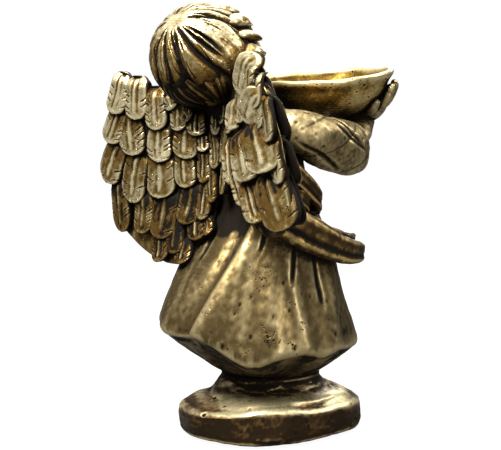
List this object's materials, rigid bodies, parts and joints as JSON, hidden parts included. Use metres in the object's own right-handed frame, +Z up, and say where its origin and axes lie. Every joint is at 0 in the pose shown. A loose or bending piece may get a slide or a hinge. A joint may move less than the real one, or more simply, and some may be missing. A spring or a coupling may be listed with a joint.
{
  "type": "resin angel figurine",
  "caption": "Bronze-painted resin cherub with layered wings and a long robe, looking up and holding out a bowl on a rocky plinth.",
  "frame": {"origin": "middle of the footprint of the whole figure, on the ground under the foot pads", "axes": "+Z up; the figure faces -Y and its right side is -X"},
  "size_m": [0.265, 0.2524, 0.391],
  "materials": {
    "bronze_paint": "antiqued bronze paint on cast resin, pale gold on the high spots, near black in the grooves",
    "robe_paint": "satin antique brass paint on cast resin, many small dark pits",
    "bowl_paint": "gold paint rubbed over dark brown, scratched and pitted",
    "plinth_paint": "dark brown antique paint with gold rubbed on the rock's edges",
    "dowel_steel": "plain steel pin",
    "pad_rubber": "matt black rubber"
  },
  "bodies": {
    "root": {"plinth_casting": "plinth_paint", "robe_casting": "robe_paint", "head_casting": "bronze_paint", "left_wing": "bronze_paint", "right_wing": "bronze_paint", "left_sleeve": "robe_paint", "right_sleeve": "robe_paint", "left_hand": "bronze_paint", "right_hand": "bronze_paint", "bowl": "bowl_paint", "sash_band": "robe_paint", "bow_knot": "bronze_paint", "bow_loop_upper": "bronze_paint", "bow_loop_lower": "bronze_paint", "sash_tail_long": "bronze_paint", "sash_tail_short": "bronze_paint", "neck_dowel": "dowel_steel", "left_wing_dowel": "dowel_steel", "right_wing_dowel": "dowel_steel", "left_arm_pin": "dowel_steel", "right_arm_pin": "dowel_steel", "base_dowel_left": "dowel_steel", "base_dowel_right": "dowel_steel", "fill_plug": "pad_rubber", "foot_pad_front_left": "pad_rubber", "foot_pad_front_right": "pad_rubber", "foot_pad_rear_left": "pad_rubber", "foot_pad_rear_right": "pad_rubber"}
  },
  "joints": []
}
